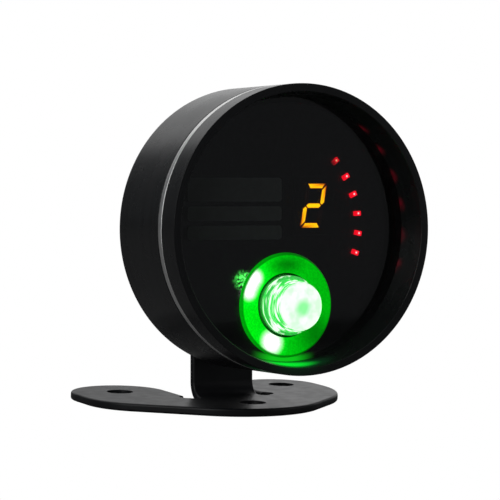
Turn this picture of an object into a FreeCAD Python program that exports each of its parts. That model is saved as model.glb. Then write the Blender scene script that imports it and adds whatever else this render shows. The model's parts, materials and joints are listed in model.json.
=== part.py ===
import FreeCAD, Part
import math
import os

# Dash-mounted round timing gauge: a turned cup with a smoked face, a seven-segment digit, an arc of
# six small LEDs and one large capped lamp, clamped by its rear bolt to a bent sheet bracket.
# All sizes are in millimetres.
#
# Row frame: the origin is where the front screw hole's axis meets the bracket's underside. +Z is up,
# +X is to the right as seen from the front, and the face looks towards -Y.
# Head frame: the origin is the centre of the bezel's front rim, +Y runs back along the housing's
# axis. The head is tilted, so its face looks up a little from the bracket's base.

# ---- Driving dimensions: the head in the row frame ----
HEAD_Y = -20.3
HEAD_Z = 40.15
TILT_DEG = 3.25

# ---- Driving dimensions: housing ----
HOUSING_R = 30.0
HEAD_DEPTH = 25.75
TRIM_FRONT = 5.75
TRIM_BACK = 7.45
BORE_R = 27.9
BACK_WALL = 2.25
SPIGOT_R = 29.0
SPIGOT_END = 12.0
FIT_GAP = 0.05
EDGE_BREAK = 0.15
BEZEL_EDGE = 0.1
BACK_EDGE_R = 0.7

# ---- Driving dimensions: bezel and face ----
RIM_INNER_R = 28.35
FACE_R = 27.4
FACE_Y = 6.5
SEAT_R = 28.1
LENS_T = 1.5
GASKET_T = 0.8
GASKET_R_IN = 26.4
BOARD_T = 1.2
MAIN_BOARD_Y = 17.0
MAIN_BOARD_T = 1.6
MAIN_BOARD_R = 26.5

# ---- Driving dimensions: round lamp ----
LAMP_X = -0.9
LAMP_Z = -15.7
FLANGE_R = 10.9
FLANGE_CREST_R = 10.45
FLANGE_RISE = 0.75
DISH_DEPTH = 0.4
SLEEVE_R = 7.4
SLEEVE_BORE_R = 6.45
SLEEVE_CHAMFER = 0.25
SLEEVE_END = 14.0
CAP_TIP_Y = -0.4
CAP_FRONT_Y = 0.1
CAP_FRONT_R = 5.05
CAP_NECK_R = 5.75
CAP_COLLAR_Y = 4.2
CAP_COLLAR_R = 6.2
CAP_FOOT_R = 6.4
CAP_FOOT_T = 1.2
CAP_BACK_Y = 9.4
CAVITY_R = 4.7
CAVITY_TIP_Y = 2.2
CAVITY_H = 2.8
EMITTER_TIP_Y = 5.0
EMITTER_DOME_H = 2.2
EMITTER_DOME_R = 2.5
LAMP_BOARD_T = 1.6
NUT_R = 10.2
NUT_T = 3.0

# ---- Driving dimensions: digit ----
DIGIT_X = 6.38
DIGIT_Z = 4.9
DIGIT_W = 4.9
DIGIT_H = 9.2
STROKE = 1.0
SEGMENT_GAP = 0.3
SLANT_DEG = 10.3
PACKAGE_W = 9.0
PACKAGE_H = 12.1
PACKAGE_DEPTH = 6.0
SEGMENT_DEPTH = 0.5
PIN_PITCH = 1.8
PIN_ROW_Z = 5.0
PIN_R = 0.25

# ---- Driving dimensions: LED arc. Each LED was soldered a few degrees off the arc. ----
ARC_X = -2.66
ARC_Z = 0.33
ARC_R = 20.12
ARC_FIRST_DEG = 43.7
ARC_STEP_DEG = 11.8
LED_TWIST_DEG = (-4, -1, 4, -6, -9, -4)
LED_LENGTH = 1.65
LED_WIDTH = 1.0
LED_T = 0.55
LED_WALL = 0.2
DIE = 0.35

# ---- Driving dimensions: rear clamp ----
STRAP_Y = 35.8
BOSS_R = 11.0
BOSS_FOOT_R = 13.0
BOLT_R = 2.5
STRAP_HOLE_R = 2.58
PAD_T = 0.7
CLAMP_GAP = 0.1
BOLT_END_Y = 46.0
BOLT_HEAD_T = 3.4
HEX_ACROSS = 8.0
FLAT_WASHER_T = 1.0
SPRING_WASHER_T = 1.3
NUT_HEIGHT = 4.0

# ---- Driving dimensions: lead inlet and setup button, on the back wall ----
INLET_X = 13.0
INLET_Z = -13.0
INLET_BORE_R = 2.3
INLET_HOLE_R = 3.6
BUTTON_X = -13.0
BUTTON_Z = -11.0
BUTTON_R = 2.2
BUTTON_GAP = 0.3
BUTTON_FLANGE_R = 3.4
BUTTON_STEP = 1.0
BUTTON_RISE = 1.1

# ---- Driving dimensions: bracket ----
PLATE_T = 1.75
SCREW_HOLE_R = 2.9
REAR_HOLE_X = 20.2
REAR_HOLE_Y = 23.6
SLOT_X = 9.6
RELIEF_R = 2.0
RELIEF_X = 9.4
RELIEF_RISE = 1.2
SIDE_X = {"left": 30.9, "right": 29.0}
SIDE_Y = {"left": 17.5, "right": 19.5}
FRONT_TIP_Y = -9.4
FRONT_R = 20.6
FLANK_DEG = 40.5
STRAP_W = 14.8
BEND_R = 3.0
PLATE_EDGE_R = 0.5

# ---- Driving dimensions: boards' fittings, by centre (x, z) ----
SPACER_PLACE_R = 22.6
SPACER_ANGLES = (45, 135, 207, 333)
SPACER_R = 2.1
SCREW_R = 0.95
CHIP = (-9.0, 9.5)
CHIP_SIZE = 7.0
CHIP_LEADS = 8
CHIP_PITCH = 0.8
REGULATOR = (16.0, 7.5)
CANS = ((-15.0, 8.5), (-15.5, 0.0))
CAN_R = 3.15
CAN_H = 5.4
CRYSTAL = (-1.5, 19.5)
CRYSTAL_R = 2.2
DRIVER = (-12.5, -4.0)
HEADER = (14.5, -4.0)
HEADER_PINS = 4
HEADER_PITCH = 2.0

Y_AXIS = FreeCAD.Vector(0, 1, 0)
HEAD_PLACE = FreeCAD.Placement(
    FreeCAD.Vector(0, HEAD_Y, HEAD_Z),
    FreeCAD.Rotation(FreeCAD.Vector(1, 0, 0), -TILT_DEG))

LENS_BACK = FACE_Y + LENS_T
BOARD_Y = LENS_BACK + GASKET_T
BOARD_BACK = BOARD_Y + BOARD_T
WALL_Y = HEAD_DEPTH - BACK_WALL
MAIN_BACK = MAIN_BOARD_Y + MAIN_BOARD_T
DIGIT_FRONT = LENS_BACK + 0.1
WASHER_Y = STRAP_Y + PLATE_T + CLAMP_GAP
SPRING_Y = WASHER_Y + FLAT_WASHER_T
NUT_Y = SPRING_Y + SPRING_WASHER_T


# ---- Shape helpers ----

def vec(x, y, z):
    return FreeCAD.Vector(x, y, z)


def rod(x, z, radius, y0, y1):
    """A cylinder along Y, from y0 to y1."""
    return Part.makeCylinder(radius, y1 - y0, vec(x, y0, z), Y_AXIS)


def ring(x, z, r_in, r_out, y0, y1):
    return rod(x, z, r_out, y0, y1).cut(rod(x, z, r_in, y0, y1))


def block(x, z, width, height, y0, y1):
    """A box centred on x and z, from y0 to y1."""
    return Part.makeBox(width, y1 - y0, height, vec(x - width / 2, y0, z - height / 2))


def turned(outline, x=0.0, z=0.0):
    """A solid of revolution about the line (x, z) along Y. The outline lists (radius, y) points,
    and an entry of four numbers is an arc: its middle point, then its end point."""
    start = vec(x + outline[0][0], outline[0][1], z)
    here = start
    edges = []
    for entry in outline[1:]:
        there = vec(x + entry[-2], entry[-1], z)
        if len(entry) == 4:
            middle = vec(x + entry[0], entry[1], z)
            edges.append(Part.Arc(here, middle, there).toShape())
        else:
            edges.append(Part.makeLine(here, there))
        here = there
    edges.append(Part.makeLine(here, start))
    face = Part.Face(Part.Wire(edges))
    return face.revolve(vec(x, 0, z), Y_AXIS, 360)


def prism(points, y0, y1):
    """A flat outline of (x, z) points, extruded along Y."""
    corners = [vec(px, y0, pz) for px, pz in points]
    face = Part.Face(Part.makePolygon(corners + corners[:1]))
    return face.extrude(vec(0, y1 - y0, 0))


def hexagon(x, z, across_flats, y0, y1):
    radius = across_flats / math.sqrt(3)
    corners = []
    for k in range(6):
        angle = math.radians(60 * k)
        corners.append((x + radius * math.cos(angle), z + radius * math.sin(angle)))
    return prism(corners, y0, y1)


def cap_middle(base_r, height):
    """Half-way point (radius, depth below the tip) of a round cap of this base radius and height."""
    sphere_r = (base_r ** 2 + height ** 2) / (2 * height)
    half_angle = math.atan2(base_r, sphere_r - height) / 2
    return sphere_r * math.sin(half_angle), sphere_r * (1 - math.cos(half_angle))


def polar(radius, angle_deg):
    angle = math.radians(angle_deg)
    return radius * math.cos(angle), radius * math.sin(angle)


def turn_about(shape, x, z, angle_deg):
    """Turn a shape about the line (x, z) along Y, from +X towards +Z."""
    turned_shape = shape.copy()
    turned_shape.rotate(vec(x, 0, z), vec(0, -1, 0), angle_deg)
    return turned_shape


def save(name, shape):
    shape.exportStep("parts/" + name + ".step")


def save_head(name, shape):
    """Save a shape that was made in the head frame."""
    placed = shape.copy()
    placed.Placement = HEAD_PLACE.multiply(placed.Placement)
    save(name, placed)


# ---- Housing ----

def housing_shell():
    """Turned cup with a counterbore for the bezel's spigot and holes in its back wall."""
    cup = turned([
        (SPIGOT_R, TRIM_BACK),
        (HOUSING_R - EDGE_BREAK, TRIM_BACK),
        (HOUSING_R, TRIM_BACK + EDGE_BREAK),
        (HOUSING_R, HEAD_DEPTH - BACK_EDGE_R),
        (HOUSING_R - 0.29 * BACK_EDGE_R, HEAD_DEPTH - 0.29 * BACK_EDGE_R,
         HOUSING_R - BACK_EDGE_R, HEAD_DEPTH),
        (0, HEAD_DEPTH),
        (0, WALL_Y),
        (BORE_R, WALL_Y),
        (BORE_R, SPIGOT_END + 0.1),
        (SPIGOT_R, SPIGOT_END + 0.1)])
    cup = cup.cut(rod(0, 0, BOLT_R + FIT_GAP, WALL_Y - 1, HEAD_DEPTH + 1))
    cup = cup.cut(rod(INLET_X, INLET_Z, INLET_HOLE_R, WALL_Y - 1, HEAD_DEPTH + 1))
    return cup.cut(rod(BUTTON_X, BUTTON_Z, BUTTON_R + BUTTON_GAP, WALL_Y - 1, HEAD_DEPTH + 1))


def front_bezel():
    """Front ring with a slightly tapered recess, a seat for the face and a spigot for the cup."""
    spigot = SPIGOT_R - FIT_GAP
    return turned([
        (RIM_INNER_R, 0.0),
        (HOUSING_R - BEZEL_EDGE, 0.0),
        (HOUSING_R, BEZEL_EDGE),
        (HOUSING_R, TRIM_FRONT - EDGE_BREAK),
        (HOUSING_R - EDGE_BREAK, TRIM_FRONT),
        (spigot, TRIM_FRONT),
        (spigot, SPIGOT_END),
        (SEAT_R, SPIGOT_END),
        (SEAT_R, FACE_Y),
        (FACE_R, FACE_Y)])


def trim_ring():
    """Bare metal ring on the spigot, flush between the bezel and the cup."""
    return turned([
        (SPIGOT_R, TRIM_FRONT),
        (HOUSING_R - EDGE_BREAK, TRIM_FRONT),
        (HOUSING_R, TRIM_FRONT + EDGE_BREAK),
        (HOUSING_R, TRIM_BACK - EDGE_BREAK),
        (HOUSING_R - EDGE_BREAK, TRIM_BACK),
        (SPIGOT_R, TRIM_BACK)])


def retaining_ring():
    """Ring that holds the boards and the face in the bezel, with two spanner notches."""
    body = ring(0, 0, 25.2, SEAT_R - FIT_GAP, BOARD_BACK, SPIGOT_END)
    for side in (-1, 1):
        body = body.cut(block(side * 26.0, 0, 2.4, 3.0, SPIGOT_END - 1.0, SPIGOT_END + 1))
    return body


# ---- Face and display board ----

def smoked_lens():
    lens = rod(0, 0, SEAT_R - FIT_GAP, FACE_Y, LENS_BACK)
    return lens.cut(rod(LAMP_X, LAMP_Z, SLEEVE_R + FIT_GAP, FACE_Y - 1, LENS_BACK + 1))


def display_board():
    """Round board with the lamp's hole and the digit's window."""
    board = rod(0, 0, SEAT_R - FIT_GAP, BOARD_Y, BOARD_BACK)
    board = board.cut(rod(LAMP_X, LAMP_Z, SLEEVE_R + FIT_GAP, BOARD_Y - 1, BOARD_BACK + 1))
    window = block(DIGIT_X, DIGIT_Z, PACKAGE_W + 0.2, PACKAGE_H + 0.2, BOARD_Y - 1, BOARD_BACK + 1)
    return board.cut(window)


def arc_led(number):
    """Surface-mount LED on the board: a body whose top has a shallow window with its die."""
    angle = ARC_FIRST_DEG - ARC_STEP_DEG * number
    out_x, out_z = polar(ARC_R, angle)
    x, z = ARC_X + out_x, ARC_Z + out_z
    front = BOARD_Y - LED_T
    floor = front + LED_T / 3
    body = block(x, z, LED_LENGTH, LED_WIDTH, front, BOARD_Y)
    window = block(x, z, LED_LENGTH - 2 * LED_WALL, LED_WIDTH - 2 * LED_WALL, front - 0.1, floor)
    die = block(x + LED_WALL, z, DIE, DIE, front + 0.08, floor)
    return turn_about(body.cut(window).fuse(die), x, z, angle + LED_TWIST_DEG[number])


# ---- Digit ----

def digit_points(points):
    """Digit-centred (x, z) points, leaned over and moved to the digit's place."""
    lean = math.tan(math.radians(SLANT_DEG))
    return [(DIGIT_X + px + pz * lean, DIGIT_Z + pz) for px, pz in points]


def segment(name, y0, y1):
    """One mitred bar of the seven-segment digit, a to g as such digits are lettered."""
    w = DIGIT_W / 2
    h = DIGIT_H / 2
    s = STROKE
    g = SEGMENT_GAP / 2
    m = s / 2
    across = [(-w + 2 * g, h), (w - 2 * g, h), (w - s, h - s), (-w + s, h - s)]
    upright = [(w, h - 2 * g), (w, g + m), (w - m, g), (w - s, m), (w - s, h - s - 2 * g)]
    tip = w - m - g
    end = w - s - g
    middle = [(-end, m), (end, m), (tip, 0), (end, -m), (-end, -m), (-tip, 0)]
    flips = {"b": (1, 1), "c": (1, -1), "e": (-1, -1), "f": (-1, 1)}
    if name == "a":
        outline = across
    elif name == "d":
        outline = [(px, -pz) for px, pz in across]
    elif name == "g":
        outline = middle
    else:
        flip_x, flip_z = flips[name]
        outline = [(flip_x * px, flip_z * pz) for px, pz in upright]
    return prism(digit_points(outline), y0, y1)


def digit_segments(names):
    return [segment(name, DIGIT_FRONT, DIGIT_FRONT + SEGMENT_DEPTH) for name in names]


def digit_body():
    body = block(DIGIT_X, DIGIT_Z, PACKAGE_W, PACKAGE_H, DIGIT_FRONT, DIGIT_FRONT + PACKAGE_DEPTH)
    for name in "abcdefg":
        body = body.cut(segment(name, DIGIT_FRONT - 0.1, DIGIT_FRONT + SEGMENT_DEPTH))
    return body


def digit_pin_places():
    places = []
    for row in (-1, 1):
        for k in range(5):
            places.append((DIGIT_X + PIN_PITCH * (k - 2), DIGIT_Z + row * PIN_ROW_Z))
    return places


def digit_pins():
    back = DIGIT_FRONT + PACKAGE_DEPTH
    pins = [rod(x, z, PIN_R, back, MAIN_BACK + 0.7) for x, z in digit_pin_places()]
    return Part.makeCompound(pins)


# ---- Round lamp ----

def lamp_reflector():
    """Turned holder: a low dished flange on the face and a sleeve that passes through it."""
    crest = FACE_Y - FLANGE_RISE
    floor = crest + DISH_DEPTH
    bore_edge = SLEEVE_BORE_R + SLEEVE_CHAMFER
    dish_edge = FLANGE_CREST_R - 0.2
    return turned([
        (SLEEVE_BORE_R, floor + SLEEVE_CHAMFER),
        (bore_edge, floor),
        ((bore_edge + dish_edge) / 2, floor - 0.3 * DISH_DEPTH, dish_edge, crest),
        (FLANGE_CREST_R, crest),
        (FLANGE_R, FACE_Y),
        (SLEEVE_R, FACE_Y),
        (SLEEVE_R, SLEEVE_END),
        (SLEEVE_BORE_R, SLEEVE_END)], LAMP_X, LAMP_Z)


def lamp_lens():
    """Clear cap with a nearly flat front, a stepped collar in the sleeve and room for the emitter."""
    front_r, front_y = cap_middle(CAP_FRONT_R, CAP_FRONT_Y - CAP_TIP_Y)
    cavity_r, cavity_y = cap_middle(CAVITY_R, CAVITY_H)
    foot_front = CAP_BACK_Y - CAP_FOOT_T
    return turned([
        (0, CAP_TIP_Y),
        (front_r, CAP_TIP_Y + front_y, CAP_FRONT_R, CAP_FRONT_Y),
        (CAP_NECK_R, CAP_COLLAR_Y),
        (CAP_COLLAR_R, CAP_COLLAR_Y + 0.2),
        (CAP_COLLAR_R, foot_front - 0.2),
        (CAP_FOOT_R, foot_front),
        (CAP_FOOT_R, CAP_BACK_Y),
        (CAVITY_R, CAP_BACK_Y),
        (CAVITY_R, CAVITY_TIP_Y + CAVITY_H),
        (cavity_r, CAVITY_TIP_Y + cavity_y, 0, CAVITY_TIP_Y)], LAMP_X, LAMP_Z)


def lamp_emitter():
    """Emitter body with its own small dome, on the lamp's board."""
    shelf = EMITTER_TIP_Y + EMITTER_DOME_H
    mid_r, mid_y = cap_middle(EMITTER_DOME_R, EMITTER_DOME_H)
    return turned([
        (0, EMITTER_TIP_Y),
        (mid_r, EMITTER_TIP_Y + mid_y, EMITTER_DOME_R, shelf),
        (3.6, shelf),
        (3.6, shelf + 0.5),
        (4.4, shelf + 0.5),
        (4.4, CAP_BACK_Y),
        (0, CAP_BACK_Y)], LAMP_X, LAMP_Z)


def lamp_board():
    return rod(LAMP_X, LAMP_Z, SLEEVE_BORE_R - FIT_GAP, CAP_BACK_Y, CAP_BACK_Y + LAMP_BOARD_T)


def lamp_spacer():
    return ring(LAMP_X, LAMP_Z, SLEEVE_R + FIT_GAP, 9.6, LENS_BACK, BOARD_Y)


def lamp_nut():
    """Round nut behind the display board, with two flats, trimmed to clear the retaining ring."""
    end = BOARD_BACK + NUT_T
    body = ring(LAMP_X, LAMP_Z, SLEEVE_R + FIT_GAP, NUT_R, BOARD_BACK, end)
    for side in (-1, 1):
        flat_x = LAMP_X + side * (NUT_R + 0.2)
        body = body.cut(block(flat_x, LAMP_Z, 2.0, 2 * NUT_R, BOARD_BACK, end + 1))
    return body.common(rod(0, 0, BORE_R - 2.9, BOARD_BACK, end))


# ---- Boards and electronics inside the cup ----

def main_board():
    board = rod(0, 0, MAIN_BOARD_R, MAIN_BOARD_Y, MAIN_BACK)
    for x, z in digit_pin_places():
        board = board.cut(rod(x, z, 0.3, MAIN_BOARD_Y - 1, MAIN_BACK + 1))
    for x, z in spacer_places():
        board = board.cut(rod(x, z, 1.1, MAIN_BOARD_Y - 1, MAIN_BACK + 1))
    return board


def spacer_places():
    return [polar(SPACER_PLACE_R, angle) for angle in SPACER_ANGLES]


def board_spacers():
    spacers = [ring(x, z, SCREW_R + FIT_GAP, SPACER_R, BOARD_BACK, MAIN_BOARD_Y)
               for x, z in spacer_places()]
    return Part.makeCompound(spacers)


def board_screws():
    """Slotted screws that hold the main board on its spacers."""
    head_back = MAIN_BACK + 1.1
    screws = []
    for x, z in spacer_places():
        head = rod(x, z, 2 * SCREW_R, MAIN_BACK, head_back)
        slot = block(x, z, 4.0, 0.5, head_back - 0.5, head_back + 1)
        screws.append(head.cut(slot).fuse(rod(x, z, SCREW_R, MAIN_BOARD_Y - 4.0, MAIN_BACK)))
    return Part.makeCompound(screws)


def microcontroller():
    """Square flat chip with gull-wing leads on four sides."""
    x, z = CHIP
    top = MAIN_BACK + 1.5
    chip = block(x, z, CHIP_SIZE, CHIP_SIZE, MAIN_BACK + 0.15, top)
    chip = chip.cut(rod(x - 2.6, z + 2.6, 0.4, top - 0.1, top + 1))
    leads = []
    for side in range(4):
        for k in range(CHIP_LEADS):
            lead_z = z + CHIP_PITCH * (k - (CHIP_LEADS - 1) / 2)
            lead = block(x + CHIP_SIZE / 2 + 0.5, lead_z, 1.0, 0.35, MAIN_BACK, MAIN_BACK + 0.2)
            leads.append(turn_about(lead, x, z, 90 * side))
    return Part.makeCompound([chip] + leads)


def voltage_regulator():
    """Flat power package: body, heat tab and two legs."""
    x, z = REGULATOR
    body = block(x, z, 6.5, 6.0, MAIN_BACK + 0.2, MAIN_BACK + 2.3)
    tab = block(x, z + 3.6, 5.3, 1.2, MAIN_BACK, MAIN_BACK + 0.6)
    legs = [block(x + side * 2.3, z - 4.2, 0.8, 2.4, MAIN_BACK, MAIN_BACK + 0.5) for side in (-1, 1)]
    return Part.makeCompound([body, tab] + legs)


def capacitors():
    """Two can capacitors on the front of the main board, each crimped above its square base."""
    top = MAIN_BOARD_Y - CAN_H
    base = MAIN_BOARD_Y - 0.3
    cans = []
    for x, z in CANS:
        can = turned([
            (0, top), (CAN_R - 0.45, top), (CAN_R, top + 0.4), (CAN_R, base - 1.2),
            (CAN_R - 0.25, base - 1.0), (CAN_R, base - 0.8), (CAN_R, base), (0, base)], x, z)
        cans.append(can.fuse(block(x, z, 2 * CAN_R + 0.3, 2 * CAN_R + 0.3, base, MAIN_BOARD_Y)))
    return Part.makeCompound(cans)


def crystal():
    """Can with round ends on a thin base."""
    x, z = CRYSTAL
    foot = MAIN_BACK + 0.4
    can = block(x, z, 3 * CRYSTAL_R, 2 * CRYSTAL_R, foot, foot + 3.0)
    for side in (-1, 1):
        can = can.fuse(rod(x + side * 1.5 * CRYSTAL_R, z, CRYSTAL_R, foot, foot + 3.0))
    return can.fuse(block(x, z, 5 * CRYSTAL_R + 0.6, 2 * CRYSTAL_R + 0.4, MAIN_BACK, foot))


def lamp_driver():
    """Small power transistor that feeds the lamp, beside its sleeve."""
    x, z = DRIVER
    foot = MAIN_BACK + 0.3
    body = block(x, z, 6.5, 3.5, MAIN_BACK + 0.1, MAIN_BACK + 1.7)
    legs = [block(x + 2.3 * k, z - 2.6, 0.7, 1.7, MAIN_BACK, foot) for k in (-1, 0, 1)]
    return Part.makeCompound([body, block(x, z + 2.6, 3.0, 1.7, MAIN_BACK, foot)] + legs)


def lead_header():
    """Pin header where the supply and signal lead is plugged in."""
    x, z = HEADER
    well = MAIN_BACK + 0.8
    length = HEADER_PINS * HEADER_PITCH + 2.4
    base = block(x, z, 5.8, length, MAIN_BACK, MAIN_BACK + 3.6)
    base = base.cut(block(x, z, 4.4, length - 1.4, well, MAIN_BACK + 5))
    pins = []
    for k in range(HEADER_PINS):
        pin_z = z + HEADER_PITCH * (k - (HEADER_PINS - 1) / 2)
        pins.append(block(x, pin_z, 0.5, 0.5, well, well + 2.4))
    return Part.makeCompound([base] + pins)


# ---- Setup button ----

def tactile_switch():
    """Square key switch on the main board, with a pocket that its plunger drops into."""
    body = block(BUTTON_X, BUTTON_Z, 6.0, 6.0, MAIN_BACK, MAIN_BACK + 2.6)
    return body.cut(rod(BUTTON_X, BUTTON_Z, 1.9, MAIN_BACK + 1.1, MAIN_BACK + 3))


def switch_plunger():
    return rod(BUTTON_X, BUTTON_Z, 1.6, MAIN_BACK + 2.1, WALL_Y - BUTTON_GAP - BUTTON_STEP)


def setup_button():
    """Cap in the back wall, kept in by a flange inside it."""
    tip = HEAD_DEPTH + BUTTON_RISE
    flange_back = WALL_Y - BUTTON_GAP
    return turned([
        (0, flange_back - BUTTON_STEP),
        (BUTTON_FLANGE_R, flange_back - BUTTON_STEP),
        (BUTTON_FLANGE_R, flange_back),
        (BUTTON_R, flange_back),
        (BUTTON_R, tip - 0.4),
        (BUTTON_R - 0.12, tip - 0.12, BUTTON_R - 0.4, tip),
        (0, tip)], BUTTON_X, BUTTON_Z)


# ---- Rear fittings ----

def lead_grommet():
    """Moulded grommet in the back wall, with a bore for a round lead."""
    return turned([
        (INLET_BORE_R, WALL_Y - 1.0),
        (4.3, WALL_Y - 1.0),
        (4.7, WALL_Y),
        (INLET_HOLE_R, WALL_Y),
        (INLET_HOLE_R, HEAD_DEPTH),
        (5.0, HEAD_DEPTH),
        (5.0, HEAD_DEPTH + 0.8),
        (4.4, HEAD_DEPTH + 1.6),
        (INLET_BORE_R, HEAD_DEPTH + 1.6)], INLET_X, INLET_Z)


def clamp_boss():
    """Turned spacer that holds the cup clear of the strap."""
    end = STRAP_Y - CLAMP_GAP - PAD_T
    boss = turned([
        (BOLT_R + FIT_GAP, HEAD_DEPTH),
        (BOSS_FOOT_R, HEAD_DEPTH),
        (BOSS_FOOT_R, HEAD_DEPTH + 1.6),
        (BOSS_R, HEAD_DEPTH + 2.6),
        (BOSS_R, end - 0.5),
        (BOSS_R - 0.5, end),
        (BOLT_R + FIT_GAP, end)])
    return boss.cut(rod(INLET_X, INLET_Z, 5.3, HEAD_DEPTH, HEAD_DEPTH + 3))


def friction_pad():
    end = STRAP_Y - CLAMP_GAP
    return ring(0, 0, BOLT_R + FIT_GAP, BOSS_R - 1.0, end - PAD_T, end)


def clamp_bolt():
    """Hexagon bolt from inside the cup, through the boss and the strap."""
    head = hexagon(0, 0, HEX_ACROSS, WALL_Y - BOLT_HEAD_T, WALL_Y)
    shank = turned([
        (0, WALL_Y), (BOLT_R, WALL_Y), (BOLT_R, BOLT_END_Y - 0.5), (BOLT_R - 0.5, BOLT_END_Y),
        (0, BOLT_END_Y)])
    return head.fuse(shank)


def flat_washer():
    return ring(0, 0, BOLT_R + FIT_GAP, 5.0, WASHER_Y, SPRING_Y)


def spring_washer():
    """Split washer, cut through at one side."""
    body = ring(0, 0, BOLT_R + FIT_GAP, 4.4, SPRING_Y, NUT_Y)
    return body.cut(block(0, 3.5, 0.6, 3.0, SPRING_Y - 1, NUT_Y + 1))


def clamp_nut():
    """Hexagon nut with chamfered corners."""
    top = NUT_Y + NUT_HEIGHT
    blank = hexagon(0, 0, HEX_ACROSS, NUT_Y, top)
    across = HEX_ACROSS / 2
    chamfer = turned([(0, NUT_Y), (across + 0.7, NUT_Y), (across + 0.7, top - 0.5), (across, top), (0, top)])
    return blank.common(chamfer).cut(rod(0, 0, BOLT_R + 0.01, NUT_Y - 1, top + 1))


# ---- Bracket, in the row frame ----

def base_plate(bend_y):
    """Flat three-lobed plate with a slot between its rear lobes, where the strap is bent up."""
    notch_r = (SLOT_X - STRAP_W / 2) / 2
    slope = math.radians(FLANK_DEG)
    sin_s, cos_s = math.sin(slope), math.cos(slope)
    front_x = FRONT_R * sin_s
    front_y = FRONT_TIP_Y + FRONT_R * (1 - cos_s)
    edges = [Part.Arc(vec(-front_x, front_y, 0), vec(0, FRONT_TIP_Y, 0), vec(front_x, front_y, 0)).toShape()]
    for name, sign in (("left", -1), ("right", 1)):
        side_x, side_y = SIDE_X[name], SIDE_Y[name]
        # The corner arc is tangent to the flank line and to the straight side.
        corner_r = ((side_y - front_y) * cos_s - (side_x - front_x) * sin_s) / (1 - sin_s)
        corner_x = side_x - corner_r
        middle = (math.pi / 2 - slope) / 2
        lobe_r = (side_x - SLOT_X) / 2

        def at(x, y):
            return vec(sign * x, y, 0)

        flank_end = at(corner_x + corner_r * sin_s, side_y - corner_r * cos_s)
        corner_mid = at(corner_x + corner_r * math.cos(middle), side_y - corner_r * math.sin(middle))
        notch_mid = at(STRAP_W / 2 + notch_r, bend_y - notch_r)
        edges.append(Part.makeLine(at(front_x, front_y), flank_end))
        edges.append(Part.Arc(flank_end, corner_mid, at(side_x, side_y)).toShape())
        edges.append(Part.makeLine(at(side_x, side_y), at(side_x, REAR_HOLE_Y)))
        edges.append(Part.Arc(at(side_x, REAR_HOLE_Y), at(side_x - lobe_r, REAR_HOLE_Y + lobe_r),
                              at(SLOT_X, REAR_HOLE_Y)).toShape())
        edges.append(Part.makeLine(at(SLOT_X, REAR_HOLE_Y), at(SLOT_X, bend_y)))
        edges.append(Part.Arc(at(SLOT_X, bend_y), notch_mid, at(STRAP_W / 2, bend_y)).toShape())
    edges.append(Part.makeLine(vec(STRAP_W / 2, bend_y, 0), vec(-STRAP_W / 2, bend_y, 0)))
    outline = Part.Wire(Part.__sortEdges__(edges))
    return Part.Face(outline).extrude(vec(0, 0, PLATE_T))


def bend(bend_y):
    """Quarter bend that lifts the strap out of the plate, turned by a little less than 90 degrees."""
    sweep = 90.0 - TILT_DEG
    face = Part.Face(Part.makePolygon([
        vec(-STRAP_W / 2, bend_y, 0), vec(STRAP_W / 2, bend_y, 0),
        vec(STRAP_W / 2, bend_y, PLATE_T), vec(-STRAP_W / 2, bend_y, PLATE_T),
        vec(-STRAP_W / 2, bend_y, 0)]))
    return face.revolve(vec(0, bend_y, PLATE_T + BEND_R), vec(1, 0, 0), sweep)


def strap(bottom_z):
    """Upright part of the strap, made in the head frame, with a round top about the bolt."""
    back = STRAP_Y + PLATE_T
    upright = block(0, bottom_z / 2, STRAP_W, -bottom_z, STRAP_Y, back)
    upright = upright.fuse(rod(0, 0, STRAP_W / 2, STRAP_Y, back))
    upright.Placement = HEAD_PLACE
    return upright


def bracket():
    tilt = math.radians(TILT_DEG)
    centre_z = PLATE_T + BEND_R
    rise = centre_z - HEAD_Z
    bend_y = HEAD_Y + (STRAP_Y - BEND_R + rise * math.sin(tilt)) / math.cos(tilt)
    bottom_z = (bend_y - HEAD_Y) * math.sin(tilt) + rise * math.cos(tilt)
    body = base_plate(bend_y).fuse(bend(bend_y)).fuse(strap(bottom_z))
    body = body.removeSplitter()
    body = rounded(body)
    for x, y in ((0, 0), (REAR_HOLE_X, REAR_HOLE_Y), (-REAR_HOLE_X, REAR_HOLE_Y)):
        body = body.cut(Part.makeCylinder(SCREW_HOLE_R, 3 * PLATE_T, vec(x, y, -PLATE_T)))
    for side in (-1, 1):
        relief = vec(side * RELIEF_X, bend_y + RELIEF_RISE, -PLATE_T)
        body = body.cut(Part.makeCylinder(RELIEF_R, 3 * PLATE_T, relief))
    bolt_hole = rod(0, 0, STRAP_HOLE_R, STRAP_Y - 1, STRAP_Y + PLATE_T + 1)
    bolt_hole.Placement = HEAD_PLACE
    return body.cut(bolt_hole)


def rounded(body):
    """Round the sheet's long edges, as a blanked and deburred sheet has."""
    wide = [face for face in body.Faces if face.Area > 40 * PLATE_T]
    edges = []
    for edge in body.Edges:
        owners = [face for face in wide if any(edge.isSame(other) for other in face.Edges)]
        if len(owners) == 1:
            edges.append(edge)
    return body.makeFillet(PLATE_EDGE_R, edges)


# ---- Build every node ----

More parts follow.
